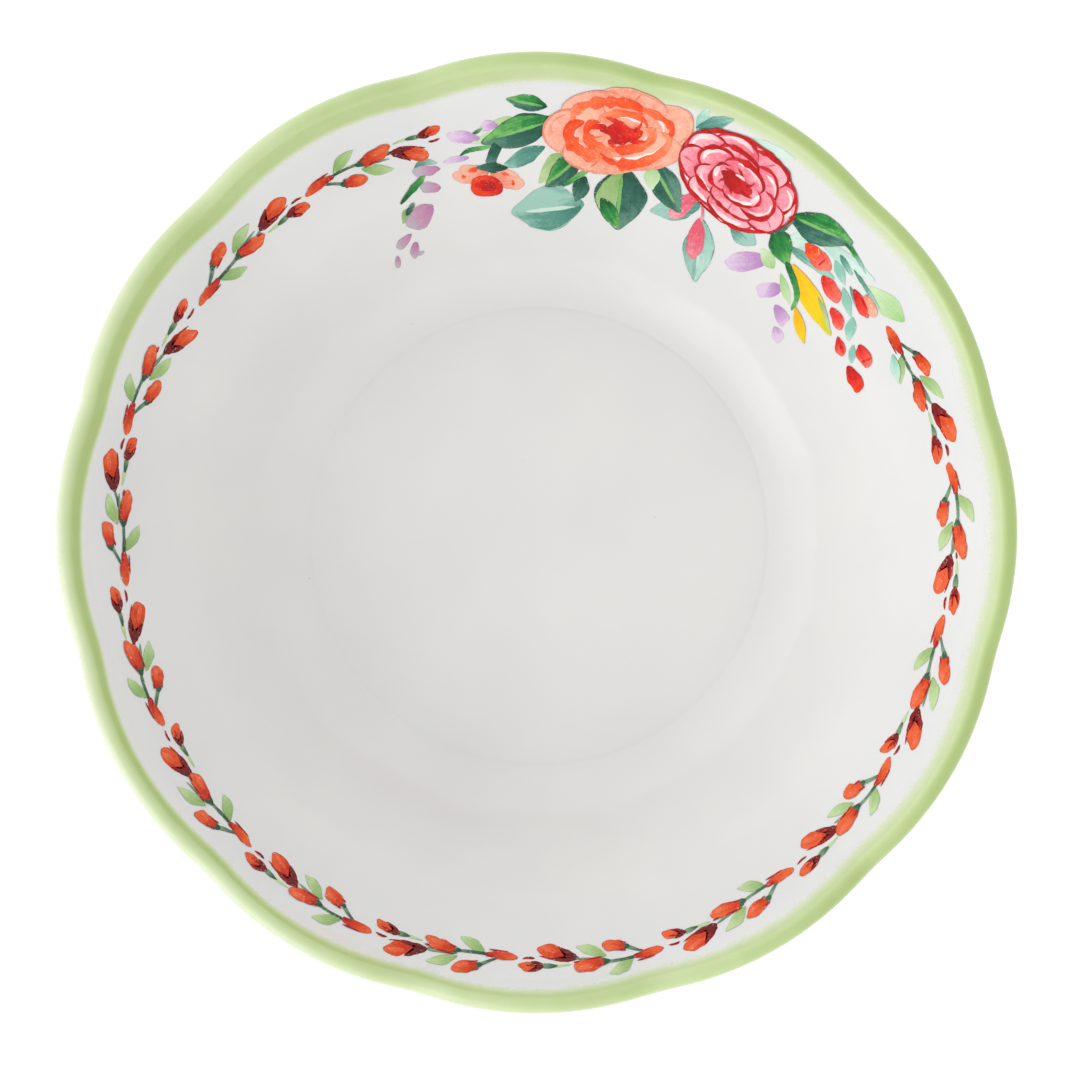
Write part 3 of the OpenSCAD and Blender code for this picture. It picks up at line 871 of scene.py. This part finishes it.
def teal_leaves():
    p = Painting("painted_teal_leaves", "teal_enamel", ["teal_leaves"], seed=32)
    p.leaf("teal", (2.5, 115), (-10.5, 109.5), 4.8, -0.1)
    p.two_tone_leaf("teal", "teal", (14, 99.5), (-8, 97.5), 13.5, 1, 0.5, -0.02)
    p.leaf("mist", (47.5, 118), (50.5, 124), 4.0, -0.2)
    p.leaf("teal", (47, 119), (58, 120.5), 4.2)
    p.leaf("mist", (60, 115.5), (76, 109), 3.8, 0.4)
    p.leaf("teal", (49, 98), (34, 97.5), 7.4, 0.3)
    p.two_tone_leaf("teal", "mist", (49.5, 94.5), (47.5, 77), 10.0, 1, 0.2, -0.2)
    p.leaf("teal", (58, 92), (65.5, 86.5), 6.0, 0.35)
    p.leaf("mist", (84, 86.5), (75, 88), 6.0, 0.3)
    p.leaf("mist", (83.5, 87), (100, 74), 4.0, 0.3)
    p.line("teal", [(75, 85.5), (80, 82), (88.5, 75.5)], 2.4, 0.3)
    for base, tip, width in (
        ((88.5, 81), (91.5, 73.5), 2.6), ((91, 73), (93.5, 64.5), 2.5), ((94, 64.5), (93, 57.5), 3.2)
    ):
        p.leaf("mist", base, tip, width, -0.5)
    p.leaf("mist", (94.5, 56.5), (94, 51), 2.2, -0.6)
    for start, end, width in (
        ((89.5, 82), (93, 76), 1.5),
        ((91, 86.5), (97, 76), 0.9),
        ((93.5, 77.5), (101, 66), 1.0),
        ((92.5, 73), (95.5, 65), 1.0),
    ):
        p.line("teal", between(start, end, 0, 0.5, 1, side=0.5), width, 0.1)
    p.leaf("mist", (105.5, 53), (107.5, 44.5), 2.8, 0.1)
    p.piece()


def dark_leaves():
    p = Painting("painted_dark_leaves", "dark_green_enamel", ["dark_leaves"], seed=33)
    # two leaves left of the coral rose, and the small blossom's stem and calyx
    p.two_tone_leaf("bright", "dark", (3.5, 125.5), (-9, 127.5), 4.8, 1)
    p.two_tone_leaf("dark", "bright", (6, 122), (-16.5, 116), 9.0, -1, -0.1)
    p.line("bright", [(-23, 112.5), (-20, 114), (-13.5, 115)], 1.2, 0.1)
    p.line("dark", [(-11.5, 115.5), (-13, 113), (-14, 110)], 3.0, -0.1, (0, 0.1))
    p.leaf("dark", (-8.5, 109.5), (-18.5, 109.5), 2.8, -0.2)
    # under the coral rose: a short leaf, a small one, a broad one and a slanted one
    p.two_tone_leaf("dark", "bright", (13.5, 112.5), (2.5, 104.5), 7.5, -1, -0.15)
    p.line("bright", [(7.5, 104.5), (12, 107), (17, 109.5)], 1.4, 0.3)
    p.leaf("dark", (14.5, 107), (11.5, 100.5), 5.5, -0.2)
    p.two_tone_leaf("dark", "leaf", (26, 109.5), (24, 92.5), 17.0, -1, -0.1)
    p.leaf("bright", (19, 101.5), (24.5, 93), 5.0, -0.05)
    p.two_tone_leaf("dark", "dark", (34.5, 110.5), (43, 96.5), 8.5, -1, 0.25, -0.1)
    p.leaf("pale_leaf", (34.5, 109.5), (34.5, 103), 5.0, 0.1)
    # right of the pink rose: a great leaf, a short one, and the stem that runs down from them
    p.two_tone_leaf("dark", "bright", (75, 94), (93.5, 85), 9.0, 1)
    p.leaf("bright", (70.5, 91.5), (75, 80.5), 7.0, -0.2)
    p.leaf("dark", (68.5, 89.5), (76.5, 92.5), 3.2)
    p.line("bright", [(91, 85.5), (93, 83.5), (95, 80.5)], 1.1, -0.1)
    p.line("bright", [(74.5, 81.5), (77, 76), (78, 71.5), (76.5, 67.5)], 1.7, 0.0, (0.1, 0.2))
    # stems at the left lilac sprig
    p.line("bright", [(-41, 99), (-37.5, 103), (-33.5, 107)], 1.9, -0.1, (0.5, 0.2))
    p.line("dark", [(-39.5, 96), (-38, 98), (-37, 99.5)], 1.3)
    p.line("bright", [(-19, 118.5), (-17.5, 119), (-16, 120)], 0.7)
    p.piece()


class Rose:
    """A round flower drawn in its own frame: 1 is its outline, whose half axes are given."""

    def __init__(self, middle, half_long, half_short, turn):
        self.middle, self.half = np.array(middle, float), (half_long, half_short)
        self.c, self.s = math.cos(math.radians(turn)), math.sin(math.radians(turn))

    def spot(self, radius, degrees):
        a = math.radians(degrees)
        x, y = self.half[0] * radius * math.cos(a), self.half[1] * radius * math.sin(a)
        return (self.middle[0] + x * self.c - y * self.s, self.middle[1] + x * self.s + y * self.c)

    def arc(self, radius, start, end, steps=5, bulge=0.0):
        spread = np.linspace(0, 1, steps)
        return [
            self.spot(radius + bulge * math.sin(math.pi * s), start + (end - start) * s) for s in spread
        ]

    def lobe(self, out, direction, deep, wide, lean=0.0):
        """A round petal centred at a share of the way out, and its outline's far part for a brush line."""
        a = math.radians(direction)
        turns = np.radians(np.arange(-165, 180, 30))
        x = out + deep * np.cos(turns)
        y = wide * np.sin(turns + lean * np.cos(turns))
        radius, around = np.hypot(x, y), np.degrees(np.arctan2(y, x) + a)
        spots = [self.spot(r, d) for r, d in zip(radius, around)]
        return spots, spots[2:10]


def petal_ring(rose, p, h, level, ring, inks):
    """One ring of round overlapping petals, each with a brush line round it and some with a light."""
    count, out, deep, wide, first, weight = ring
    petal, light, stroke = inks
    for k in range(count):
        turn = first + 360 * k / count + p.random.uniform(-9, 9)
        size = p.random.uniform(0.9, 1.12)
        spots, brow = rose.lobe(out, turn, deep * size, wide * size, p.random.uniform(-0.4, 0.4))
        level += 3
        p.layer = level
        p.patch(
            petal,
            spots,
            p.random.uniform(-0.2, 0.1),
            (rose.spot(out - deep, turn), rose.spot(out + deep, turn)),
        )
        if k % 3 != 1:
            lit, _ = rose.lobe(out, turn, 0.78 * deep * size, 0.8 * wide * size)
            p.line(light, lit[3:8], p.random.uniform(0.8, 1.7), 0.1, (0.5, 0.5), 0.3)
        else:
            fold = [
                rose.spot(out + deep * share, turn + d) for share, d in ((0.85, -3), (0.5, -1), (0.1, 2))
            ]
            p.line(petal, fold, 0.45, -0.5, (0.2, 0.6), 0.3)
        h.layer = level + 2
        h.line(stroke, brow, weight * p.random.uniform(0.7, 1.35), 0.0, (0.3, 0.4), 0.3)
    return level


# Each rose's rings of petals: how many, how far out, how deep, how wide, the first one's direction,
# and the weight of their brush lines
CORAL_RINGS = (
    ((6, 0.6, 0.42, 0.52, 12, 0.5), ("salmon", "salmon", "salmon")),
    ((4, 0.38, 0.34, 0.46, 30, 2.6), ("salmon", "white", "orange")),
    ((3, 0.2, 0.26, 0.34, 84, 1.9), ("salmon", "white", "orange")),
)
PINK_RINGS = ((8, 0.66, 0.3, 0.36, 20, 0.85), (6, 0.42, 0.3, 0.36, 44, 0.95), (3, 0.2, 0.27, 0.33, 80, 1.1))


def coral_rose():
    """A loose open rose: salmon petals, orange brush strokes and white lights round a red heart."""
    rose = Rose((24.6, 118.8), 21.8, 11.0, -4)
    p = Painting("painted_coral_rose", "coral_enamel", ["coral_rose"], seed=34)
    h = Painting("painted_coral_rose_heart", "red_enamel", ["coral_rose_heart"], seed=35)
    level = 19
    for ring, inks in CORAL_RINGS:
        level = petal_ring(rose, p, h, level, ring, inks)
    h.layer = level + 4
    heart = [rose.spot(0.25 + 0.05 * (-1) ** k, 12 + 40 * k) for k in range(9)]
    h.patch("red", heart, -0.05, (rose.spot(0.3, 250), rose.spot(0.3, 60)), rough=0.5)
    for turn, reach in ((20, 0.42), (96, 0.4), (150, 0.44), (236, 0.38), (310, 0.4)):
        hook = [rose.spot(0.2, turn), rose.spot(0.7 * reach, turn + 8), rose.spot(reach, turn + 24)]
        h.line("red", hook, 1.2, 0.2, (0.1, 0.6), 0.2)
    p.piece()
    h.piece()


def pink_rose():
    """A full rose of round overlapping petals, with crimson brush lines and pale lights."""
    rose = Rose((59.7, 104.1), 19.7, 11.0, -34)
    p = Painting("painted_pink_rose", "pink_enamel", ["pink_rose"], seed=36)
    h = Painting("painted_pink_rose_heart", "crimson_enamel", ["pink_rose_heart"], seed=37)
    p.layer = level = 44
    p.patch("pink", rose.arc(0.96, 0, 345, 24), 0.1, (rose.spot(1, 200), rose.spot(1, 20)), rough=0.25)
    for k in range(8):
        turn = 44 + 45 * k + p.random.uniform(-9, 9)
        p.layer = level + 1
        p.line(
            "blush",
            rose.arc(0.88, turn - 12, turn + 12, 5),
            p.random.uniform(1.0, 2.2),
            0.3,
            (0.4, 0.4),
            0.3,
        )
    # the outline, laid on in long strokes that overlap
    for start, end, width in (
        (-30, 52, 0.9), (38, 128, 1.2), (110, 190, 1.0), (176, 262, 0.8), (250, 334, 1.1)
    ):
        h.layer = level + 2
        h.line("crimson", rose.arc(0.975, start, end, 9, 0.014), width, 0.0, (0.3, 0.3), 0.3)
    for ring in PINK_RINGS:
        level = petal_ring(rose, p, h, level, ring, ("pink", "blush", "crimson"))
    h.layer = level + 4
    h.line("blush", rose.arc(0.36, 166, 206, 5), 1.6, 0.2)
    h.line("blush", rose.arc(0.38, -34, 8, 5), 1.4, 0.3)
    heart = (
        (0.27, 4), (0.18, 46), (0.16, 96), (0.24, 140), (0.3, 180), (0.25, 216), (0.2, 262), (0.24, 316)
    )
    spots = [rose.spot(*spot) for spot in heart]
    h.patch("crimson", spots, -0.15, (rose.spot(0.2, 180), rose.spot(0.2, 0)), rough=0.4)
    for turn, reach in ((24, 0.34), (84, 0.32), (128, 0.3), (202, 0.36), (250, 0.3), (318, 0.33)):
        hook = [rose.spot(0.14, turn), rose.spot(0.7 * reach, turn + 8), rose.spot(reach, turn + 24)]
        h.line("crimson", hook, 0.85, -0.1, (0.1, 0.6), 0.2)
    h.line("blush", rose.arc(0.17, 60, 120, 4), 0.7, 0.0)
    p.piece()
    h.piece()


def red_blossom():
    """A small half-open blossom: a fan of salmon petals behind a red heart."""
    flower = Rose((-14.6, 106.0), 11.2, 4.6, -6)
    p = Painting("painted_red_blossom", "red_enamel", ["red_blossom"], seed=38)
    for turn, tint in ((176, 0.2), (132, 0.1), (46, 0.1), (4, 0.2)):
        p.patch("salmon", flower.lobe(0.6, turn, 0.38, 0.4)[0], tint)
        p.line("orange", flower.arc(0.66, turn - 14, turn + 14, 4), 1.2, -0.25)
    p.round("red", (-15.2, 104.4), 5.2, 2.9, -4, 0.4)
    p.round("red", (-15.6, 104.6), 3.2, 1.5, -4, -0.3)
    p.piece()


def pink_buds():
    p = Painting("painted_pink_buds", "pink_enamel", ["pink_buds"], seed=39)
    p.layer = 16
    p.bud("pink", (48, 101.5), (40, 95.5), 4.8, -0.2)
    p.line("pink", [(49.4, 98.4), (49.6, 96), (49.2, 93.6)], 0.9, 0.1, (0.1, 0.1))
    p.bud("pink", (48.5, 94.5), (47, 83.5), 5.4, -0.45)
    p.piece()


# Petals of the lilac sprigs: ink, base, tip, width and tint
LILAC_LEFT = (
    ("lilac", (-16.5, 117), (-26.5, 117.5), 3.2, 0.1),
    ("lilac", (-11.5, 120.5), (-16.5, 120.5), 2.8, 0.1),
    ("lilac", (-20, 112), (-28, 111), 1.8, 0.2),
    ("mauve", (-29, 109), (-37, 107.5), 3.0, 0.1),
    ("mauve", (-29, 104), (-35, 103.5), 3.2, 0.1),
    ("mauve", (-31.5, 99), (-38.5, 92.5), 6.0, 0.0),
    ("mauve", (-38, 91), (-42.5, 86.5), 2.6, 0.1),
    ("mauve", (-36.5, 88.5), (-38, 84), 2.6, 0.0),
    ("mauve", (-42.5, 84.5), (-42.5, 81), 1.8, 0.2),
)
LILAC_RIGHT = (
    ("lilac", (69.5, 82), (56.5, 82), 5.8, 0.1),
    ("lilac", (69.5, 82), (60.5, 82.5), 4.6, -0.2),
    ("lilac", (74, 74), (66, 73.5), 4.4, 0.3),
    ("lilac", (73.5, 74), (69, 73.5), 3.6, -0.2),
    ("lilac", (71.5, 69.5), (75, 63.5), 3.8, -0.1),
    ("lilac", (71.5, 63), (73.5, 58.5), 3.4, 0.4),
)


def lilac_sprigs():
    p = Painting("painted_lilac_sprig_left", "lilac_enamel", ["lilac_sprig_left"], seed=40)
    p.line("teal", [(-37, 107.5), (-34, 110.5), (-29.5, 110.5)], 1.5, 0.1)
    for petal in LILAC_LEFT:
        p.bud(*petal)
    p.line("mauve", [(-37.4, 86), (-36, 85.4), (-34.4, 86)], 0.9, 0.3)
    p.piece()
    p = Painting("painted_lilac_sprig_right", "lilac_enamel", ["lilac_sprig_right"], seed=41)
    for petal in LILAC_RIGHT:
        p.bud(*petal)
    p.piece()


# The berries: ink, stalk end, far end, width and tint
BERRIES = (
    ("berry", (80, 86), (87, 78), 4.6, 0.1),
    ("orange", (80, 86), (83.5, 82), 3.6, -0.45),
    ("berry", (85, 77), (90, 69), 3.8, 0.0),
    ("berry", (88, 67.5), (91, 61), 3.2, 0.0),
    ("berry", (90, 59), (91.5, 53.5), 2.6, -0.1),
    ("berry", (96, 56.5), (99, 50), 3.4, 0.0),
    ("red", (93, 50.5), (97, 43), 3.6, 0.1),
    ("berry", (94, 72.5), (98, 64), 2.8, -0.15),
    ("salmon", (97.5, 70.5), (100, 64), 2.8, 0.1),
)


def berries():
    p = Painting("painted_berry_spray", "red_enamel", ["berry_spray"], seed=42)
    p.layer = 20
    for berry in BERRIES:
        p.bud(*berry)
    for start, end in (
        ((84, 79.5), (86.5, 81.5)),
        ((97, 51), (100, 52)),
        ((96, 70), (98, 65.5)),
        ((90.5, 56.5), (91.5, 54)),
    ):
        p.line("red", between(start, end, 0, 0.5, 1, side=0.3), 0.7, 0.1)
    p.piece()
    p = Painting("painted_yellow_buds", "yellow_enamel", ["yellow_buds"], seed=43)
    p.layer = 24
    p.leaf("yellow", (76.5, 80.5), (88, 59.5), 6.0, -0.1)
    p.line("leaf", [(84, 71), (86, 66.5), (87.5, 61)], 1.1, 0.2)
    p.leaf("yellow", (77.5, 68.5), (80.5, 57.5), 3.2, -0.2)
    p.piece()


# ---------------------------------------------------------------------------
# Building the bowl
# ---------------------------------------------------------------------------
def skin_distance():
    """Distance along the skin's profile from the band's inner edge, per row, in millimetres."""
    step = np.hypot(np.diff(SKIN_R), np.diff(SKIN_Z))
    run = np.concatenate([[0], np.cumsum(step)])
    return run - run[BAND_ROWS[0]]


def rim_band(material):
    first, last = BAND_ROWS
    piece = shell("enamel_rim_band", first, last, step=4)
    run = skin_distance()[first : last + 1, None]
    a = ANGLES[None, :]
    c, d = np.cos(a), np.sin(a)
    # painted highlight and shade: the coat is painted thinner, so paler, on the sides turned left towards
    # the key light, and thicker and darker on the sides turned right, away from it
    painted_light_facing = SKIN_NORMAL[first : last + 1] @ np.array([0.966, 0.259, 0.0])
    # the fade into the white is wider on the right: partly the coat's own soft edge, partly a painted
    # highlight there
    soft = 4.7 + 2.4 * c - 0.5 * d
    middle = 3.8 + 0.47 * c - 1.38 * d + 0.2 * wave(a)
    middle = middle + 0.87 * np.sin(2 * a) - 0.36 * np.cos(3 * a) + 0.14 * np.sin(3 * a)
    low = smooth((run - middle) / soft + 0.5)
    over = smooth((run - 6.1) / 3.6)
    edge = 1 - 0.24 * smooth((run - 11.5) / 2.4)
    high = smooth((run[-1] - run - 0.6) / 3.2)
    # painted shade: over the lip's top the coat is painted thicker, so darker, towards the right
    spray = (0.74 + 0.34 * painted_light_facing + (0.02 + 0.23 * c + 0.08 * d) * over) * low * edge * high
    values = np.zeros(len(piece.data.vertices))
    values[: spray.size] = spray.ravel()
    set_values(piece, "spray", values)
    finish_piece(piece, ["rim_band"], [material])


def clay_body(material):
    """The clay under the glaze, closed under the floor inside the foot ring."""
    rows = list(range(0, len(SKIN), 3)) + [len(SKIN) - 1]
    inner = (SKIN - (GLAZE_T + 0.02) * SKIN_NORMAL)[rows][:, ::3]
    count = inner.shape[1]
    points = np.concatenate(
        [inner.reshape(-1, 3), [[0, 0, WELL_EDGE[1] - GLAZE_T], [0, 0, FOOT_H + GLAZE_T]]]
    )
    faces = strip_faces(len(rows), count).tolist()
    top, base = len(rows) * count, (len(rows) - 1) * count
    for j in range(count):
        k = (j + 1) % count
        faces += [[top, j, k], [top + 1, base + k, base + j]]
    finish_piece(add_mesh("clay_body", points, faces), ["bisque_body"], [material])


def build_bowl():
    glaze = glaze_material()
    clay_body(bisque_material())
    inner = shell("glaze_inside", 0, BAND_ROWS[0], pole=True)
    finish_piece(inner, ["inner_glaze"], [glaze])
    outer = shell("glaze_outside", BAND_ROWS[1], len(SKIN) - 1)
    finish_piece(outer, ["outer_glaze"], [glaze])
    rim_band(band_material())
    r, w, h = FOOT_R, FOOT_W, FOOT_H
    loop = [(r - w, h + 0.3), (r - w + 0.25, h - 0.6), (r - w + 0.4, 1.2), (r - w + 0.7, 0.3)]
    loop += [(r - w + 1.4, 0), (r - w / 2, 0), (r - 1.4, 0), (r - 0.7, 0.3), (r - 0.4, 1.2)]
    loop += [(r - 0.25, h - 0.6), (r, h + 0.3), (r - w / 2, h + 0.3)]
    foot = turned("foot_ring_turned", loop)
    finish_piece(foot, ["foot_ring"], [bisque_material("foot_ring_clay", 0.9)])
    disc = [
        (0.2, h), (r - w - 6, h), (r - w - 1.2, h - 0.05), (r - w + 0.1, h - 0.7), (r - w + 0.1, h + 0.28)
    ]
    disc += [(r - w - 2, h + 0.3), (0.2, h + 0.3)]
    base = turned("glaze_under_floor", disc)
    finish_piece(base, ["base_glaze"], [base_material()])


def paint():
    teal_leaves()
    light_leaves()
    dark_leaves()
    coral_rose()
    pink_rose()
    red_blossom()
    pink_buds()
    lilac_sprigs()
    berries()
    garland()


# ---------------------------------------------------------------------------
# Floor, light and camera
# ---------------------------------------------------------------------------
def floor_material():
    n = Nodes("studio_floor")
    n.link(
        n.ramp(n.noise(120, 2.0), [(0.3, (249, 249, 249)), (0.7, (252, 252, 252))]),
        n.shader.inputs["Base Color"],
    )
    n.shader.inputs["Roughness"].default_value = 0.9
    n.shader.inputs["Specular IOR Level"].default_value = 0.1
    n.shader.inputs["Emission Color"].default_value = (1, 1, 1, 1)
    n.shader.inputs["Emission Strength"].default_value = 0.12
    return n.material


def add_floor():
    mesh = bpy.data.meshes.new("floor")
    s = 4.0
    mesh.from_pydata([(-s, -s, 0), (s, -s, 0), (s, s, 0), (-s, s, 0)], [], [(0, 1, 2, 3)])
    floor = bpy.data.objects.new("floor", mesh)
    bpy.context.scene.collection.objects.link(floor)
    mesh.materials.append(floor_material())


def aim(thing, place, target):
    thing.location = place
    way = np.array(target, float) - np.array(place, float)
    thing.rotation_mode = "QUATERNION"
    thing.rotation_quaternion = Vector(way).to_track_quat("-Z", "Y")


def add_light(name, place, size, watts, target=(0, 0, 0.04)):
    data = bpy.data.lights.new(name, "AREA")
    data.shape = "RECTANGLE"
    data.size, data.size_y = size
    data.energy = watts
    lamp = bpy.data.objects.new(name, data)
    bpy.context.scene.collection.objects.link(lamp)
    aim(lamp, place, target)


def add_camera():
    """Straight down from high above, a little to the right of the bowl's axis and in front of it."""
    data = bpy.data.cameras.new("camera")
    camera = bpy.data.objects.new("camera", data)
    bpy.context.scene.collection.objects.link(camera)
    bpy.context.scene.camera = camera
    height = LIP_C[1] * MM
    wide = 2.2433 * RIM_R * MM
    distance = 1.5
    data.sensor_width = 36
    data.lens = 36 * distance / wide
    data.clip_start, data.clip_end = 0.05, 20
    middle = (0.0013, -0.0024, height)
    camera.location = (0.019, -0.0285, height + distance)
    camera.rotation_mode = "XYZ"
    across = math.atan2(camera.location.x - middle[0], distance)
    camera.rotation_euler = (math.atan2(middle[1] - camera.location.y, distance), across, 0)


DOME_OVERHEAD = 0.49
# How the dome brightens to each side: axis, which way along it, by how much, and how steeply
GLOW = (
    (0, -1, 0.7, 1),
    (0, -1, 0.5, 3),
    (0, 1, 0.34, 1),
    (0, 1, 0.16, 3),
    (1, 1, 0.72, 1),
    (1, -1, 0.72, 1),
    (1, -1, 0.14, 2),
)


def add_world():
    """A pale studio dome, brighter round the sides than overhead and brightest on the left."""
    world = bpy.data.worlds.new("studio")
    world.use_nodes = True
    tree = world.node_tree
    split = tree.nodes.new("ShaderNodeSeparateXYZ")
    tree.links.new(tree.nodes.new("ShaderNodeTexCoord").outputs["Generated"], split.inputs[0])

    def part(axis, side, weight, power):
        turn = tree.nodes.new("ShaderNodeMath")
        turn.operation = "MULTIPLY"
        turn.use_clamp = True
        turn.inputs[1].default_value = side
        tree.links.new(split.outputs[axis], turn.inputs[0])
        bend = tree.nodes.new("ShaderNodeMath")
        bend.operation = "POWER"
        bend.inputs[1].default_value = power
        tree.links.new(turn.outputs[0], bend.inputs[0])
        scale = tree.nodes.new("ShaderNodeMath")
        scale.operation = "MULTIPLY_ADD"
        scale.inputs[1].default_value = weight
        tree.links.new(bend.outputs[0], scale.inputs[0])
        return scale

    total = None
    for axis, side, weight, power in GLOW:
        scale = part(axis, side, weight, power)
        scale.inputs[2].default_value = DOME_OVERHEAD
        if total is not None:
            tree.links.new(total, scale.inputs[2])
        total = scale.outputs[0]
    back = tree.nodes["Background"]
    back.inputs[0].default_value = (1, 1, 1, 1)
    tree.links.new(total, back.inputs[1])
    bpy.context.scene.world = world
    bpy.context.scene.view_settings.view_transform = "Standard"


build_bowl()
paint()
add_floor()
add_world()
add_light("key_lower_left", (-0.95, -0.75, 0.95), (1.1, 1.1), 3.6)
add_camera()
